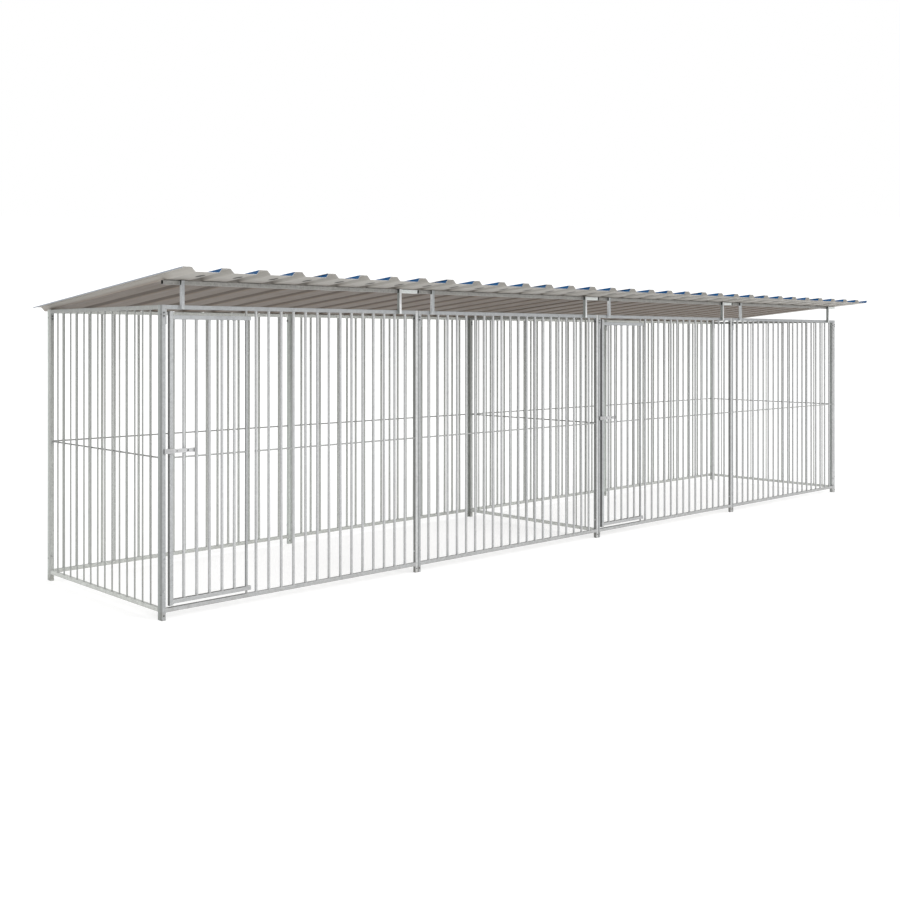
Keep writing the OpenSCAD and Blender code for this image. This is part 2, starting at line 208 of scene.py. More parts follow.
# ---------------------------------------------------------------------------------------------
# Materials
# ---------------------------------------------------------------------------------------------
def galvanised(name, level, tint, metallic=0.4, rough=0.48, streak_axis="z", contrast=1.0, seams=False, sills=False, lit_from=None, shadow_above=None):
    """Hot-dip zinc: crystal spangle in two sizes, cloudy patches, run streaks, and grime at the ground.

    seams darkens the joints between neighbouring panels as painted shade in the groove between the posts, and sills
    paints the doors' shadow on the stretches of rail under the doors.
    The option after these gives the place along each panel from which a painted patch of light brightens the zinc, and
    the last one the height above which a painted shadow lies in the corner behind a stem."""
    g = Graph(name)
    fine = g.cells(g.coord, 150.0)
    coarse = g.cells(g.coord, 62.0)
    f_val = g.sep(fine.outputs["Color"])[0]
    c_val = g.sep(coarse.outputs["Color"])[1]
    cloud = g.noise(g.coord, 5.5, 4.0, 0.6)
    s = {"z": (75, 75, 3.2), "x": (3.2, 75, 75), "y": (75, 3.2, 75)}[streak_axis]
    streak = g.noise(g.scaled(*s), 1.0, 3.0, 0.55)
    fleck = g.noise(g.coord, 260.0, 2.0, 0.5)
    v = g.math("MULTIPLY_ADD", f_val, 0.16 * contrast, 1.0 - 0.32 * contrast)
    v = g.math("MULTIPLY_ADD", c_val, 0.14 * contrast, v)
    v = g.math("MULTIPLY_ADD", cloud, 0.22 * contrast, v)
    v = g.math("MULTIPLY_ADD", streak, 0.14 * contrast, v)
    v = g.math("MULTIPLY_ADD", fleck, 0.05 * contrast, v)
    shade = g.n("ShaderNodeCombineColor")
    for i, k in enumerate(tint):
        g.l(g.math("MULTIPLY", v, level * k), shade.inputs[i])
    # pale oxide bloom in soft patches
    bloom = g.span(g.noise(g.coord, 17.0, 5.0, 0.65), 0.54, 0.72, 0.0, 0.34)
    col = g.mix(bloom, shade.outputs[0], tuple(min(1.0, level * 1.22 * k) for k in (tint[0] * 1.01, tint[1] * 1.01, tint[2])))
    # splashed soil on the lowest few centimetres
    z = g.sep(g.coord)[2]
    low = g.span(z, 0.005, 0.085, 1.0, 0.0)
    soil = g.math("MULTIPLY", low, g.span(g.noise(g.coord, 42.0, 4.0, 0.6), 0.40, 0.66, 0.0, 0.55))
    col = g.mix(soil, col, (0.175, 0.155, 0.120))
    # painted shade: a near-black line along the groove where neighbouring panels' posts meet
    if seams:
        x = g.sep(g.coord)[0]
        away = g.math("PINGPONG", g.math("SUBTRACT", x, X0 - 20 * PW), PW / 2)
        seam = g.math("MULTIPLY", g.span(away, 0.0022, 0.0036, 0.85, 0.0), g.math("LESS_THAN", g.math("ABSOLUTE", x), 1.9 * PW))
        col = g.mix(seam, col, (0.045, 0.045, 0.042))
    # painted shadow of each door on the top faces of the rails under it
    if sills:
        x = g.sep(g.coord)[0]
        for d in DOOR_X:
            off = g.math("ABSOLUTE", g.math("SUBTRACT", x, d + 0.305))
            door_shadow_mask = g.math("MULTIPLY", g.span(off, 0.255, 0.280, 1.0, 0.0), g.span(cloud, 0.25, 0.6, 0.78, 0.92))
            col = g.mix(door_shadow_mask, col, (0.098, 0.098, 0.094))
    # painted light: a brighter patch from this place to the end of each panel
    if lit_from:
        along = g.math("FLOORED_MODULO", g.math("SUBTRACT", g.sep(g.coord)[0], X0), PW)
        bright = g.math("MULTIPLY", g.span(along, lit_from, lit_from + 0.004, 0.0, 1.0), g.span(f_val, 0.0, 1.0, 0.82, 1.0))
        col = g.mix(bright, col, (0.78, 0.815, 0.805))
    # painted shadow on the stems' faces in the corner against the purlin, above this height
    if shadow_above:
        corner = g.span(g.sep(g.coord)[1], YF - 0.022, YF - 0.017, 0.0, 0.92)
        col = g.mix(g.math("MULTIPLY", g.span(z, shadow_above, shadow_above + 0.004, 0.0, 1.0), corner), col, (0.026, 0.026, 0.024))
    g.l(col, g.bsdf.inputs["Base Color"])
    r = g.math("MULTIPLY_ADD", f_val, 0.13, rough - 0.10)
    r = g.math("MULTIPLY_ADD", c_val, 0.08, r)
    r = g.math("MULTIPLY_ADD", bloom, 0.35, r)
    r = g.math("MULTIPLY_ADD", soil, 0.30, r, clamp=True)
    g.l(r, g.bsdf.inputs["Roughness"])
    h = g.math("MULTIPLY_ADD", fine.outputs["Distance"], 0.35, g.noise(g.coord, 95.0, 3.0, 0.5))
    h = g.math("ADD", h, g.math("MULTIPLY", streak, 0.8))
    g.bump(h, 0.16, 0.0012)
    g.set(Metallic=metallic)
    return g.mat


def weld_zinc(name, level, tint):
    """Zinc over a weld bead: rougher and more uneven than the tube beside it."""
    g = Graph(name)
    a = g.noise(g.coord, 210.0, 4.0, 0.6)
    b = g.noise(g.coord, 38.0, 3.0, 0.55)
    v = g.math("MULTIPLY_ADD", a, 0.34, 0.72)
    v = g.math("MULTIPLY_ADD", b, 0.22, v)
    shade = g.n("ShaderNodeCombineColor")
    for i, k in enumerate(tint):
        g.l(g.math("MULTIPLY", v, level * k), shade.inputs[i])
    g.l(shade.outputs[0], g.bsdf.inputs["Base Color"])
    g.l(g.span(a, 0.3, 0.7, 0.42, 0.66), g.bsdf.inputs["Roughness"])
    g.bump(a, 0.35, 0.0012)
    g.set(Metallic=0.5)
    return g.mat


def plated(name, level, tint, streak):
    """Bright zinc plating on bolts and latch parts, rubbed along the direction of sliding."""
    g = Graph(name)
    cloud = g.noise(g.coord, 60.0, 4.0, 0.6)
    rub = g.noise(g.scaled(*streak), 1.0, 4.0, 0.6)
    v = g.math("MULTIPLY_ADD", cloud, 0.26, 0.74)
    v = g.math("MULTIPLY_ADD", rub, 0.24, v)
    shade = g.n("ShaderNodeCombineColor")
    for i, k in enumerate(tint):
        g.l(g.math("MULTIPLY", v, level * k), shade.inputs[i])
    stain = g.span(g.noise(g.coord, 130.0, 5.0, 0.7), 0.60, 0.74, 0.0, 0.5)
    col = g.mix(stain, shade.outputs[0], (level * 0.62, level * 0.57, level * 0.47))
    g.l(col, g.bsdf.inputs["Base Color"])
    r = g.math("MULTIPLY_ADD", rub, 0.22, 0.24)
    g.l(g.math("MULTIPLY_ADD", stain, 0.3, r, clamp=True), g.bsdf.inputs["Roughness"])
    g.bump(rub, 0.10, 0.0006)
    g.set(Metallic=0.75)
    return g.mat


def roof_paint(name):
    """Blue coil coating: slight fading, dust washed down the slope, and scuffs."""
    g = Graph(name)
    cloud = g.noise(g.coord, 1.7, 4.0, 0.55)
    wash = g.noise(g.scaled(26, 0.9, 26), 1.0, 5.0, 0.6)
    speck = g.noise(g.coord, 150.0, 3.0, 0.6)
    deep, pale = lin(0, 70, 120), lin(0, 90, 144)
    col = g.mix(g.span(cloud, 0.35, 0.68, 0.0, 0.75), deep, pale)
    dust = g.math("MULTIPLY", g.span(wash, 0.52, 0.80, 0.0, 0.36), g.span(speck, 0.35, 0.65, 0.5, 1.0))
    col = g.mix(dust, col, lin(96, 128, 152))
    # rain leaves a little dust in the valleys
    _, y, z = g.sep(g.coord)
    rise = g.math("SUBTRACT", g.math("MULTIPLY_ADD", y, math.tan(SLOPE), z), ROOF_Z0 + ROOF_Y0 * math.tan(SLOPE))
    settled = g.math("MULTIPLY", g.span(rise, 0.002, 0.022, 1.0, 0.0), g.span(wash, 0.30, 0.70, 0.04, 0.30))
    col = g.mix(settled, col, lin(112, 140, 158))
    scuff = g.span(g.noise(g.scaled(9, 120, 60), 1.0, 4.0, 0.7), 0.66, 0.74, 0.0, 0.30)
    col = g.mix(scuff, col, lin(96, 140, 190))
    g.l(col, g.bsdf.inputs["Base Color"])
    r = g.math("MULTIPLY_ADD", dust, 0.5, 0.46)
    g.l(g.math("MULTIPLY_ADD", speck, 0.10, r, clamp=True), g.bsdf.inputs["Roughness"])
    g.bump(g.noise(g.coord, 420.0, 2.0, 0.5), 0.05, 0.0006)
    g.set(Metallic=0.0)
    g.bsdf.inputs["Specular IOR Level"].default_value = 0.06
    return g.mat


def roof_back(name, inside, webs=False):
    """Grey-beige backing coat under the sheets, with rolling streaks along the ribs and painted shade: the coat is
    darker away from the open edges and lighter near them; inside is its level away from the edges.

    webs is for the ribs' flanks, which get painted light at their lower edge and painted shade higher up in the rib's
    hollow."""
    g = Graph(name)
    roll = g.noise(g.scaled(34, 0.7, 34), 1.0, 5.0, 0.62)
    cloud = g.noise(g.coord, 3.0, 4.0, 0.55)
    speck = g.noise(g.coord, 190.0, 3.0, 0.6)
    v = g.math("MULTIPLY_ADD", roll, 0.34, 0.66)
    v = g.math("MULTIPLY_ADD", cloud, 0.20, v)
    v = g.math("MULTIPLY_ADD", speck, 0.07, v)
    x, y, z = g.sep(g.coord)
    wave = g.math("MULTIPLY", g.math("SUBTRACT", cloud, 0.5), 0.16)
    # painted light: the coat lightens towards the front, rear and end edges of the roof, and is darker, as painted
    # shade, further in
    front_edge = g.span(g.math("ADD", y, wave), ROOF_Y0 + 0.22, ROOF_Y0 + 0.52, 1.0, 0.0)
    rear_edge = g.span(y, -ROOF_Y0 - 0.14, -ROOF_Y0, 0.0, 0.6)
    ends = g.span(g.math("ABSOLUTE", x), -RIB_X0 - CREST - 0.025, -RIB_X0 - CREST - 0.010, 0.0, 0.76)
    lit_edges = g.math("MAXIMUM", g.math("MAXIMUM", front_edge, rear_edge), ends)
    if webs:
        # painted shade higher in each rib's hollow, and painted light at the flank's lower edge, on the first flank and
        # near the open edges
        rise = g.math("SUBTRACT", g.math("MULTIPLY_ADD", y, math.tan(SLOPE), z), ROOF_Z0 + ROOF_Y0 * math.tan(SLOPE))
        web_shading = g.span(rise, 0.0010, 0.0072, 1.42, 0.66)
        first = g.span(x, RIB_X0 + CREST + 0.05, RIB_X0 + CREST + 0.06, 1.0, 0.0)
        web_shading = g.math("MAXIMUM", web_shading, first)
        lit = g.span(lit_edges, 0.25, 1.0, 0.0, 0.80)
        web_shading = g.math("MULTIPLY_ADD", g.math("SUBTRACT", 1.0, web_shading), lit, web_shading)
        v = g.math("MULTIPLY", v, web_shading)
    shade = g.n("ShaderNodeCombineColor")
    for i in range(3):
        k = g.span(lit_edges, 0.0, 1.0, BACK_SHADE[i] * inside, BACK_LIGHT[i])
        g.l(g.math("MULTIPLY", v, k), shade.inputs[i])
    # dark mark in every valley beside the next rib, a hand's breadth behind the front edge
    along = g.math("SUBTRACT", y, ROOF_Y0 + 0.150)
    across = g.math("PINGPONG", g.math("SUBTRACT", x, RIB_X0 + (CREST + RIB_PITCH) / 2 + 0.043 - 40 * RIB_PITCH), RIB_PITCH / 2)
    reach = g.math("SQRT", g.math("ADD", g.math("POWER", g.math("MULTIPLY", across, 1 / 0.0185), 2.0), g.math("POWER", g.math("MULTIPLY", along, 1 / 0.046), 2.0)))
    mark = g.span(g.math("ADD", reach, g.math("MULTIPLY", g.math("SUBTRACT", speck, 0.5), 0.2)), 0.90, 1.15, 0.98, 0.0)
    col = g.mix(mark, shade.outputs[0], (0.022, 0.020, 0.017))
    g.l(col, g.bsdf.inputs["Base Color"])
    g.l(g.span(roll, 0.3, 0.7, 0.50, 0.70), g.bsdf.inputs["Roughness"])
    g.bump(speck, 0.06, 0.0006)
    g.set(Metallic=0.0)
    return g.mat


# levels of the backing coat: the first is the painted shade under the roof, the second the painted light near its open
# edges
BACK_SHADE = (0.154, 0.123, 0.0985)
BACK_LIGHT = (0.398, 0.382, 0.352)
GALV = 0.38
COOL, BLUE, GREEN = (0.982, 0.995, 1.0), (0.945, 0.978, 1.0), (0.972, 1.0, 0.958)
mat_front = galvanised("galvanised_front", GALV * 0.89, (0.965, 0.99, 1.0))
# Lit and shaded copies of the posts' zinc, painting light and shade by face: the left post of each panel a darker copy,
# the right post a lighter one, the right posts' left faces a shaded copy, the last post's left face a lit copy, and the
# left posts' left faces a shaded copy.
mat_post_l = galvanised("galvanised_post_left_shade", GALV * 0.80, (0.960, 0.985, 1.0), seams=True)
mat_post_r = galvanised("galvanised_post_right_light", GALV * 1.18, COOL, seams=True)
mat_post_in = galvanised("galvanised_post_inner_shade", GALV * 0.55, (0.985, 1.0, 0.985), seams=True)
mat_post_far = galvanised("galvanised_post_far_light", GALV * 1.65, COOL)
mat_post_edge = galvanised("galvanised_post_edge_shade", GALV * 0.60, (0.97, 1.0, 0.985))
# painted shade on the door stiles' left faces, which face the post across a narrow gap
mat_stile_in = galvanised("galvanised_stile_inner_shade", GALV * 0.60, COOL)
mat_rail = galvanised("galvanised_rail", GALV * 0.91, COOL, streak_axis="x")
mat_rail_top = galvanised("galvanised_rail_top", GALV * 0.81, BLUE, streak_axis="x")
# top faces of the low rails, carrying the painted shadow of the doors above them
mat_sill = galvanised("galvanised_sill", GALV * 0.93, COOL, streak_axis="x", sills=True)
# Lit and shaded copies of the stems' zinc, as painted light and shade: the left faces of the left stems and of the
# first stem are lit copies, the right stems a lit copy, and their left faces a shaded copy; the left-face copies also
# carry a painted shadow near the purlin.
mat_stem = galvanised("galvanised_stem", GALV * 0.92, BLUE)
mat_stem_l = galvanised("galvanised_stem_left_light", GALV * 2.05, BLUE, shadow_above=1.957)
mat_stem_end = galvanised("galvanised_stem_end_light", GALV * 1.22, BLUE, shadow_above=1.957)
mat_stem_r = galvanised("galvanised_stem_right", GALV * 1.60, COOL)
mat_stem_rl = galvanised("galvanised_stem_right_side_shade", GALV * 0.84, (0.93, 1.0, 0.965), shadow_above=1.957)
mat_side = galvanised("galvanised_side", GALV * 0.96, GREEN)
# painted shade on the left face of the side panels' front posts, in the corner beside the front panel
mat_side_corner = galvanised("galvanised_side_corner_shade", GALV * 0.82, (0.935, 1.0, 0.975))
# a darker copy for the cross panels' top rails and a much lighter one for their low rails, painting shade and light
# under the roof
mat_side_rail = galvanised("galvanised_side_rail_shade", GALV * 0.79, GREEN, streak_axis="y", contrast=1.3)
mat_side_low = galvanised("galvanised_side_low_light", GALV * 1.45, GREEN, streak_axis="y")
mat_rear = galvanised("galvanised_rear", GALV * 1.22, (0.945, 1.0, 0.955), seams=True)
# lit copies for the rear panels' rails, as painted light against the roof's shade: the top rail much brighter, the low
# rail less so
mat_rear_rail = galvanised("galvanised_rear_rail_light", GALV * 1.75, GREEN, streak_axis="x")
mat_rear_low = galvanised("galvanised_rear_low_light", GALV * 1.18, GREEN, streak_axis="x")
mat_bar = galvanised("galvanised_bar", GALV * 1.11, COOL, contrast=0.8)
mat_bar_rear = galvanised("galvanised_bar_rear", GALV * 1.12, GREEN, contrast=0.8)
mat_bar_side = galvanised("galvanised_bar_side", GALV * 0.84, GREEN, contrast=0.8)
mat_rod = galvanised("galvanised_rod", GALV * 0.78, (0.985, 1.0, 0.985), streak_axis="x", contrast=0.8)
# painted shade: a darker copy of the zinc for the purlins under the roof, with a painted patch of light on each
# purlin's end beyond its right stem
mat_purlin = galvanised("galvanised_purlin_shade_light", GALV * 0.76, (1.0, 0.988, 0.940), streak_axis="x", contrast=1.8, lit_from=PW - 0.173)
mat_weld = weld_zinc("weld_zinc", GALV * 1.0, (0.985, 0.997, 0.99))
mat_zinc_x = plated("plated_latch", GALV * 1.20, (0.985, 0.992, 1.0), (6, 220, 220))
mat_guide = plated("plated_guide", GALV * 1.0, (0.985, 0.992, 1.0), (6, 220, 220))
mat_zinc = plated("plated_bolt", GALV * 0.95, (0.99, 0.99, 0.97), (150, 150, 150))
# the lower bolts get a lighter zinc, and the bolts above 1 m and the latch bolt's left rivets a much darker one
mat_bolt_low = plated("plated_bolt_low", GALV * 1.25, (0.985, 0.995, 1.0), (150, 150, 150))
mat_bolt = plated("dark_bolt", GALV * 0.30, (0.98, 1.0, 1.0), (150, 150, 150))
# painted shade inside hollows: the tubes' inner faces, the latch bolt's box and the purlins' bores are darkened where
# little light reaches
mat_inside = plated("tube_inside_shade", GALV * 0.19, (1.0, 0.98, 0.93), (90, 90, 90))
mat_bore = plated("purlin_inside_shade", GALV * 0.05, (1.0, 0.99, 0.95), (90, 90, 90))
mat_blue = roof_paint("roof_blue")
mat_back = roof_back("roof_backing", 0.97)
# the ribs' flanks use a lighter copy of the backing coat, as painted light
mat_back_web = roof_back("roof_backing_web_shading", 1.16, webs=True)
mat_lip = plated("sheet_lip", GALV * 0.74, (0.58, 0.74, 1.0), (20, 3, 20))
mat_edge = plated("sheet_edge", GALV * 1.25, (0.985, 0.995, 1.0), (120, 120, 120))


def rubber(name):
    g = Graph(name)
    a = g.noise(g.coord, 300.0, 3.0, 0.6)
    g.l(g.mix(g.span(a, 0.3, 0.7, 0.0, 1.0), (0.020, 0.020, 0.021), (0.045, 0.044, 0.042)), g.bsdf.inputs["Base Color"])
    g.l(g.span(a, 0.3, 0.7, 0.62, 0.82), g.bsdf.inputs["Roughness"])
    g.bump(a, 0.2, 0.0005)
    return g.mat


mat_rubber = rubber("washer_rubber")


def dress(node, *mats):
    me = nodes[node].data
    me.materials.clear()
    for m in mats:
        me.materials.append(m)


def by_face(node, mats, rule):
    me = nodes[node].data
    dress(node, *mats)
    me.polygons.foreach_set("material_index", np.array([rule(p) for p in me.polygons], np.int32))
    me.update()


def high(p):
    return int(p.center.z > 1.0)


def bore(node):
    """Tells the inner faces of a node's upright tubes, which stand at the corners of its box."""
    lo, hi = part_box(node)
    mids = [(x, y) for x in (lo.x + TUBE / 2, hi.x - TUBE / 2) for y in (lo.y + TUBE / 2, hi.y - TUBE / 2)]

    def rule(p):
        c = p.center
        return abs(p.normal.z) < 0.5 and any(max(abs(c.x - x), abs(c.y - y)) < TUBE / 2 - 0.0013 for x, y in mids)
    return rule


for n in nodes:
    if n.startswith("front_panel") or n.startswith("door_"):
        if n.endswith("_bars"):
            dress(n, mat_bar)
        elif n.endswith("_tie_rod"):
            dress(n, mat_rod)
        elif "latch" in n:
            dress(n, mat_guide)
        elif n == "door_pivot_pins":
            dress(n, mat_zinc)
        elif n.endswith("_rails"):
            by_face(n, (mat_rail, mat_sill, mat_rail_top), lambda p: 2 if high(p) else int(p.normal.z > 0.6))
        elif n.endswith("_uprights"):
            by_face(n, (mat_front, mat_stile_in), lambda p: int(p.normal.x < -0.7))
        elif n.endswith("_posts"):
            lo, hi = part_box(n)
            half, dark = (lo.x + hi.x) / 2, bore(n)
            last = hi.x > X0 + 4 * PW - TUBE

            # each face of a post takes one of the lit or shaded copies as painted light and shade; the tubes' insides
            # take painted shade
            def post_rule(p):
                if dark(p):
                    return 3
                if p.center.x < half:
                    return 4 if p.normal.x < -0.3 else 0
                return 2 if p.normal.x < -0.7 else 1
            by_face(n, (mat_post_l, mat_post_r, mat_post_far if last else mat_post_in, mat_inside, mat_post_edge), post_rule)
        else:
            dress(n, mat_front)
    elif n.startswith("rear_panel"):
        if n.endswith("_rails"):
            by_face(n, (mat_rear_low, mat_rear_rail), high)
        elif n.endswith("_posts"):
            by_face(n, (mat_rear, mat_inside), bore(n))
        else:
            dress(n, mat_bar_rear)
    elif n.split("_")[0] in ("left", "right", "partition"):
        if n.endswith("_rails"):
            by_face(n, (mat_side_low, mat_side_rail), high)
        elif n.endswith("_posts"):
            dark = bore(n)
            by_face(n, (mat_side, mat_inside, mat_side_corner), lambda p: 1 if dark(p) else 2 if p.center.y < YF + 3 * TUBE and p.normal.x < -0.7 else 0)
        else:
            dress(n, mat_bar_side)
dress("tie_rods", mat_rod)
dress("joint_plates", mat_front)


# chooses the lit or shaded copy of the zinc for each face of a stem
def stem_rule(p):
    left = int(p.normal.x < -0.7)
    if left and p.center.x < X0 + PW / 2:
        return 4
    return 2 * int((p.center.x - X0) % PW > PW / 2) + left


by_face("roof_posts", (mat_stem, mat_stem_l, mat_stem_r, mat_stem_rl, mat_stem_end), stem_rule)
for n in ("joint_bolts", "joint_nuts", "corner_bolts", "corner_nuts"):
    by_face(n, (mat_bolt_low, mat_bolt), high)


def sheet_rule(p):
    nx, ny, nz = p.normal
    if abs(ny) > 0.9 or abs(nz) < 0.2:
        return 2
    if nz > 0:
        return 4 if nx < -0.3 and p.center.x < RIB_X0 else 0
    return 3 if abs(nx) > 0.4 else 1


def above_sheet(c):
    """Height of a point over the under side of the sheets' valleys."""
    return (c.z - (ROOF_Z0 - (c.y - ROOF_Y0) * math.tan(SLOPE))) * math.cos(SLOPE)


def screw_rule(p):
    h = above_sheet(p.center)
    return 2 if h < 0.0009 else 1 if h < 0.00275 else 0


for n in ("roof_sheets_left", "roof_sheets_right"):
    by_face(n, (mat_blue, mat_back, mat_edge, mat_back_web, mat_lip), sheet_rule)
by_face("roof_screws", (mat_blue, mat_rubber, mat_zinc), screw_rule)


def within(lo, hi, inset, axes):
    """Faces lying inside the node's box by more than inset, on those axes: the inside of a hollow."""
    def rule(p):
        return int(all(lo[a] + inset < p.center[a] < hi[a] - inset for a in axes))
    return rule


# the purlins' bores, and the latch bolt's box and lock hole, take painted shade
lo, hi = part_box("roof_purlins")
by_face("roof_purlins", (mat_purlin, mat_bore), within(lo, hi, 0.0014, (1, 2)))
for d in (1, 2):
    lo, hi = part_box(f"door_{d}_latch_bolt")
    lo.y = hi.y - 0.007
    hollow = within(lo, hi, 0.0005, (0, 1, 2))
    by_face(f"door_{d}_latch_bolt", (mat_zinc_x, mat_inside, mat_bolt),
            lambda p: 2 if p.center.y < lo.y - 0.0002 and p.center.x < (lo.x + hi.x) / 2 else hollow(p))


# ---------------------------------------------------------------------------------------------
# Weld beads
# ---------------------------------------------------------------------------------------------
class Beads:
    """Closed bead meshes gathered into one piece."""

    def __init__(self):
        self.v, self.f, self.n = [], [], 0

    def strip(self, rings, closed):
        """Rings of equal length become a closed tube, with end caps if it isn't a loop."""
        rings = np.asarray(rings, float)
        m, k = rings.shape[:2]
        base = self.n
        self.v.append(rings.reshape(-1, 3))
        self.n += m * k
        for j in range(m if closed else m - 1):
            a, b = base + j * k, base + ((j + 1) % m) * k
            for i in range(k):
                i2 = (i + 1) % k
                self.f.append((a + i, a + i2, b + i2, b + i))
        if not closed:
            self.f.append(tuple(base + i for i in reversed(range(k))))
            self.f.append(tuple(base + (m - 1) * k + i for i in range(k)))

    def ring(self, centre, axis, radius, leg, segs=24):
        """Fillet round a bar of that radius where it leaves a surface; axis points along the bar."""
        a = np.array(axis, float)
        e1 = np.array((1.0, 0, 0)) if abs(a[0]) < 0.5 else np.array((0, 1.0, 0))
        e2 = np.cross(a, e1)
        c = np.array(centre, float)
        ph, ph2 = rng.rand(2) * 6.283
        rings = []
        for j in range(segs):
            t = 2 * math.pi * j / segs
            q = leg * (1 + 0.16 * math.sin(7 * t + ph) + 0.14 * math.sin(2 * t + ph2) + 0.10 * (rng.rand() - 0.5))
            d = math.cos(t) * e1 + math.sin(t) * e2
            prof = ((-0.0006, -0.0003), (q, -0.0003), (q * 0.96, q * 0.16), (q * 0.58, q * 0.50), (q * 0.20, q * 0.90), (-0.0006, q * 1.06))
            rings.append([c + d * (radius + r) + a * h for r, h in prof])
        self.strip(rings, True)

    def fillet(self, p, q, u, v, leg, step=0.0032):
        """Bead in the corner between two faces along the line p to q; u and v point out along the two faces."""
        self._line(p, q, u, v, step, lambda s: ((-0.0004, -0.0004), (s * leg, -0.0004), (s * leg * 0.95, s * leg * 0.16), (s * leg * 0.62, s * leg * 0.50),
                                                (s * leg * 0.50, s * leg * 0.62), (s * leg * 0.16, s * leg * 0.95), (-0.0004, s * leg)))

    def flush(self, p, q, u, v, width, height, step=0.0032):
        """Low bead over a seam between two faces in one plane; u runs across the seam and v out of the plane."""
        w = width / 2
        self._line(p, q, u, v, step, lambda s: ((-w * s, -0.0012), (w * s, -0.0012), (w * 0.92 * s, height * 0.30), (w * 0.5 * s, height * 0.85 * s),
                                                (0, height * s), (-w * 0.5 * s, height * 0.85 * s), (-w * 0.92 * s, height * 0.30)))

    def _line(self, p, q, u, v, step, profile):
        p, q, u, v = (np.array(x, float) for x in (p, q, u, v))
        n = max(4, int(np.linalg.norm(q - p) / step))
        ph = rng.rand() * 6.283
        rings = []
        for j in range(n + 1):
            t = j / n
            s = 1 + 0.11 * math.sin(2.2 * j + ph) + 0.14 * (rng.rand() - 0.5)
            s *= 0.72 + 0.28 * min(1.0, 5 * t, 5 * (1 - t))
            c = p + (q - p) * t
            rings.append([c + u * a + v * b for a, b in profile(s)])
        if np.dot(np.cross(u, v), q - p) > 0:   # keeps every bead's faces pointing out
            rings = rings[::-1]
        self.strip(rings, False)

    def spot(self, centre, axis, radius, thick, segs=12):
        """Nugget where two crossing bars touch, flattened along the axis."""
        a = np.array(axis, float)
        e1 = np.array((0, 1.0, 0)) if abs(a[0]) > 0.5 else np.array((1.0, 0, 0))
        e2 = np.cross(a, e1)
        c = np.array(centre, float)
        rings = []
        for lat in (-75, -45, -15, 15, 45, 75):
            r, h = radius * math.cos(math.radians(lat)), thick * math.sin(math.radians(lat))
            rings.append([c + a * h + (math.cos(t) * e1 + math.sin(t) * e2) * r * (0.92 + 0.16 * rng.rand())
                          for t in np.arange(segs) * 2 * math.pi / segs])
        self.strip(rings, False)

    def build(self, name, body, mat):
        me = bpy.data.meshes.new(name)
        me.from_pydata(np.concatenate(self.v).tolist(), [], self.f)
        me.materials.append(mat)
        me.polygons.foreach_set("use_smooth", np.ones(len(me.polygons), bool))
        me.update()
        o = bpy.data.objects.new(name, me)
        scene.collection.objects.link(o)
        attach(o, body)
        return o


def groups(node, axis, gap):
    """The node's vertices as an array for each piece, split where the next one is further off than gap."""
    co = np.array([v.co for v in nodes[node].data.vertices])
    co = co[np.argsort(co[:, axis])]
    cut = np.where(np.diff(co[:, axis]) > gap)[0] + 1
    return np.split(co, cut)


def bar_rings(b, node, axis, z0, z1, radius=BAR_R, leg=0.0026):
    """Beads at both ends of a node's bars; returns the bars' centres."""
    centres = []
    for g in groups(node, axis, 0.012):
        c = (g.min(0) + g.max(0)) / 2
        b.ring((c[0], c[1], z0), (0, 0, 1), radius, leg)
        b.ring((c[0], c[1], z1), (0, 0, -1), radius, leg)
        centres.append(c)
    return centres


def rail_welds(b, node, axis, ends=(0, 1), top_flush=True):
    """The four seams at each end of a node's rails, against the faces of the posts."""
    for g in groups(node, 2, 0.5):
        lo, hi = g.min(0), g.max(0)
        other = 1 - axis
        for e in ends:
            s = -1 if e == 0 else 1
            at = lo[axis] if e == 0 else hi[axis]
            away = np.zeros(3); away[axis] = -s
            across = np.zeros(3); across[other] = 1
            up = np.array((0, 0, 1.0))

            def pt(o, z):
                p = np.zeros(3)
                p[axis], p[other], p[2] = at, o, z
                return p
            a, c = lo[other] + 0.003, hi[other] - 0.003
            b.fillet(pt(a, lo[2]), pt(c, lo[2]), away, -up, 0.0034)
            if not top_flush and hi[2] > Z_TOP - 0.001:
                pass                             # a roof sheet lies close over this face
            elif hi[2] > Z_TOP - 0.001:
                b.flush(pt(a, hi[2]) - away * 0.001, pt(c, hi[2]) - away * 0.001, away, up, 0.0075, 0.0008)
            else:
                b.fillet(pt(a, hi[2]), pt(c, hi[2]), away, up, 0.0034)
            for o, out in ((lo[other], -across), (hi[other], across)):
                b.flush(pt(o, lo[2] + 0.002) - away * 0.001, pt(o, hi[2] - 0.002) - away * 0.001, away, out, 0.0075, 0.0008)


front = Beads()
for i in range(1, 5):
    bar_rings(front, f"front_panel_{i}_bars", 0, Z_BAR0, Z_BAR1)
    rail_welds(front, f"front_panel_{i}_rails", 0)
    xl, xr = X0 + (i - 1) * PW, X0 + i * PW
    if i in (2, 4):
        front.ring((xl + TUBE, YF + TUBE / 2, Z_ROD), (1, 0, 0), ROD_R, 0.0019, 16)
    front.ring((xr - TUBE, YF + TUBE / 2, Z_ROD), (-1, 0, 0), ROD_R, 0.0019, 16)
    # lower edge and front edge of the plate inside the left post
    front.fillet((xl + TUBE, YF + 0.003, 1.727), (xl + TUBE, YF + 0.022, 1.727), (1, 0, 0), (0, 0, -1), 0.0032)
for x in DOOR_X:
    front.ring((x + 0.585, YF + TUBE / 2, Z_BAR0), (0, 0, 1), 0.007, 0.0024)
    front.ring((x + 0.585, YF + TUBE / 2, Z_BAR1), (0, 0, -1), 0.007, 0.0024)
front.build("welds_front_panels", "run", mat_weld)

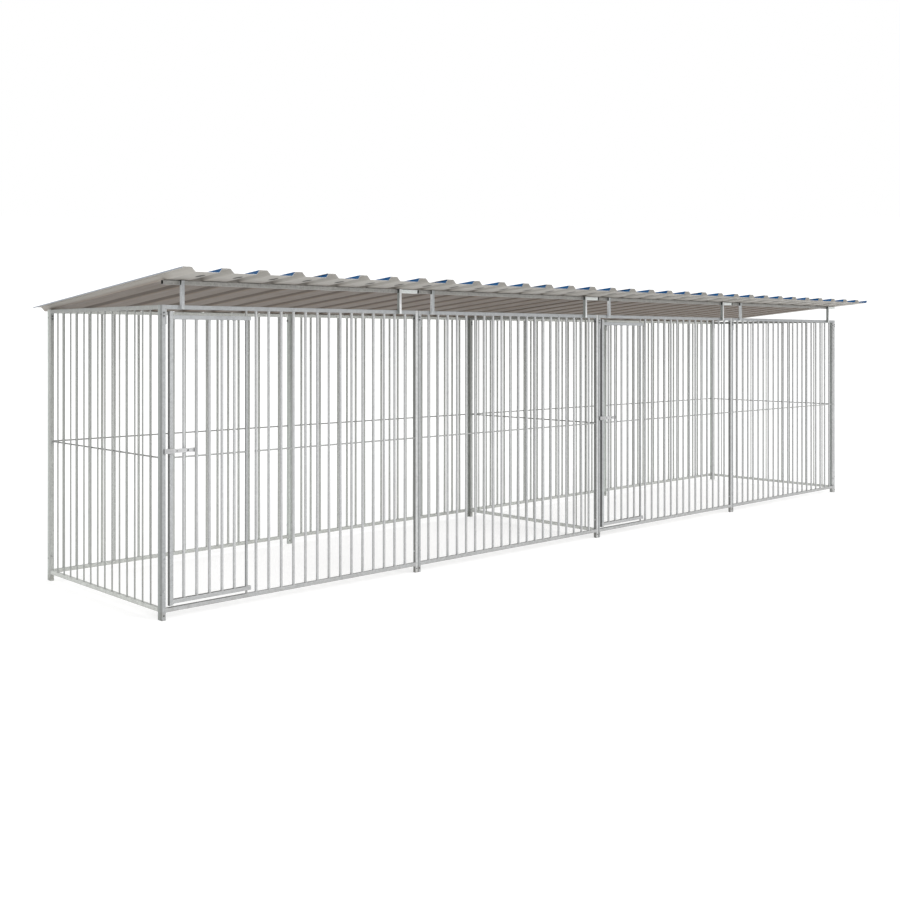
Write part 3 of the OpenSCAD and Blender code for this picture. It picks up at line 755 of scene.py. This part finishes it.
rear = Beads()
for i in range(1, 5):
    bar_rings(rear, f"rear_panel_{i}_bars", 0, Z_BAR0, Z_BAR1)
    rail_welds(rear, f"rear_panel_{i}_rails", 0, top_flush=False)
    xl, xr = X0 + (i - 1) * PW, X0 + i * PW
    rear.ring((xl + TUBE, YR + TUBE / 2, Z_ROD), (1, 0, 0), ROD_R, 0.0019, 16)
    rear.ring((xr - TUBE, YR + TUBE / 2, Z_ROD), (-1, 0, 0), ROD_R, 0.0019, 16)
    rear.fillet((xl + TUBE, YR + 0.003, 1.727), (xl + TUBE, YR + 0.022, 1.727), (1, 0, 0), (0, 0, -1), 0.0032)
rear.build("welds_rear_panels", "run", mat_weld)

cross = Beads()
for k, x, out in zip(("left_side", "partition", "right_side"), CROSS_X, CROSS_OUT):
    for c in bar_rings(cross, f"{k}_bars", 1, Z_BAR0, Z_BAR1, SIDE_R, 0.0022):
        cross.spot((x + TUBE / 2, c[1], Z_ROD), (1, 0, 0), 0.0040, 0.0024)
    rail_welds(cross, f"{k}_rails", 1)
    lo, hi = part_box(f"{k}_rails")
    rod_x = x + TUBE / 2 - out * (ROD_R + 0.00005)
    cross.ring((rod_x, lo.y, Z_ROD), (0, 1, 0), ROD_R, 0.0019, 16)
    cross.ring((rod_x, hi.y, Z_ROD), (0, -1, 0), ROD_R, 0.0019, 16)
cross.build("welds_side_panels", "run", mat_weld)

carry = Beads()
for g in groups("roof_posts", 0, 0.05):
    lo, hi = g.min(0), g.max(0)
    for x, u in ((lo[0], (-1, 0, 0)), (hi[0], (1, 0, 0))):
        for z0, z1 in ((1.8175, 1.8385), (1.9625, 1.9835)):
            carry.fillet((x, YF, z0), (x, YF, z1), u, (0, -1, 0), 0.0032)
carry.build("welds_roof_posts", "run", mat_weld)

for d, x in zip((1, 2), DOOR_X):
    b = Beads()
    lo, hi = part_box(f"door_{d}_rails")
    z0, z1 = lo.z + TUBE, hi.z - TUBE
    bar_rings(b, f"door_{d}_bars", 0, z0, z1)
    for z, a in ((z0, 1), (z1, -1)):
        b.ring((x + 0.585, YF + TUBE / 2, z), (0, 0, a), BAR_R, 0.0026)
    rail_welds(b, f"door_{d}_rails", 0, ends=(0,))
    b.ring((x + 0.075, YF + TUBE / 2, Z_ROD), (1, 0, 0), ROD_R, 0.0019, 16)
    lo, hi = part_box(f"door_{d}_latch_guide")
    for z, a in ((lo.z, -1), (hi.z, 1)):
        b.fillet((x + 0.054, YF, z), (x + 0.069, YF, z), (0, 0, a), (0, -1, 0), 0.003)
    b.build(f"welds_door_{d}", f"door_{d}", mat_weld)

# ---------------------------------------------------------------------------------------------
# Floor and light
# ---------------------------------------------------------------------------------------------
me = bpy.data.meshes.new("floor")
s = 90.0
me.from_pydata([(-s, -s, 0), (s, -s, 0), (s, s, 0), (-s, s, 0)], [], [(0, 1, 2, 3)])
floor = bpy.data.objects.new("floor", me)
scene.collection.objects.link(floor)
g = Graph("floor_pale")
f_noise = g.noise(g.coord, 0.8, 3.0, 0.5)
g.l(g.mix(g.span(f_noise, 0.3, 0.7, 0.0, 1.0), (0.47, 0.47, 0.47), (0.50, 0.50, 0.498)), g.bsdf.inputs["Base Color"])
g.set(Roughness=0.9)
g.bsdf.inputs["Specular IOR Level"].default_value = 0.1
g.bsdf.inputs["Emission Color"].default_value = (1.0, 1.0, 1.0, 1.0)
g.bsdf.inputs["Emission Strength"].default_value = 0.60
me.materials.append(g.mat)
floor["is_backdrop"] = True

# A low pale backdrop all round, as bright as the floor, so that thin bars look alike against both
N_RING, R_RING, H_RING = 96, 84.0, 11.0
ring = [(R_RING * math.cos(2 * math.pi * i / N_RING), R_RING * math.sin(2 * math.pi * i / N_RING)) for i in range(N_RING)]
me = bpy.data.meshes.new("backdrop")
me.from_pydata(
    [(x, y, 0.0) for x, y in ring] + [(x, y, H_RING) for x, y in ring], [],
    [(i, (i + 1) % N_RING, N_RING + (i + 1) % N_RING, N_RING + i) for i in range(N_RING)],
)
backdrop = bpy.data.objects.new("backdrop", me)
scene.collection.objects.link(backdrop)
g = Graph("backdrop_pale")
b_noise = g.noise(g.coord, 0.3, 3.0, 0.5)
g.l(g.mix(g.span(b_noise, 0.3, 0.7, 0.0, 1.0), (0.05, 0.05, 0.05), (0.06, 0.06, 0.06)), g.bsdf.inputs["Base Color"])
g.set(Roughness=0.9)
g.bsdf.inputs["Specular IOR Level"].default_value = 0.1
g.bsdf.inputs["Emission Color"].default_value = (1.0, 1.0, 1.0, 1.0)
g.bsdf.inputs["Emission Strength"].default_value = 1.10
me.materials.append(g.mat)
backdrop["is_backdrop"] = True

world = bpy.data.worlds.new("studio")
world.use_nodes = True
bg = next(n for n in world.node_tree.nodes if n.type == "BACKGROUND")
bg.inputs["Color"].default_value = (1.0, 1.0, 1.0, 1.0)
bg.inputs["Strength"].default_value = 1.0
scene.world = world

sun_data = bpy.data.lights.new("key", "SUN")
sun_data.energy = 1.6
sun_data.angle = math.radians(28)
sun = bpy.data.objects.new("key", sun_data)
scene.collection.objects.link(sun)
sun.rotation_mode = "QUATERNION"
sun.rotation_quaternion = Vector((0.36, -0.80, 0.45)).to_track_quat("Z", "Y")

scene.view_settings.view_transform = "Standard"
scene.view_settings.look = "None"

lo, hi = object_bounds()
{"cad": [list(cad_lo), list(cad_hi)], "visual": [list(lo), list(hi)]}
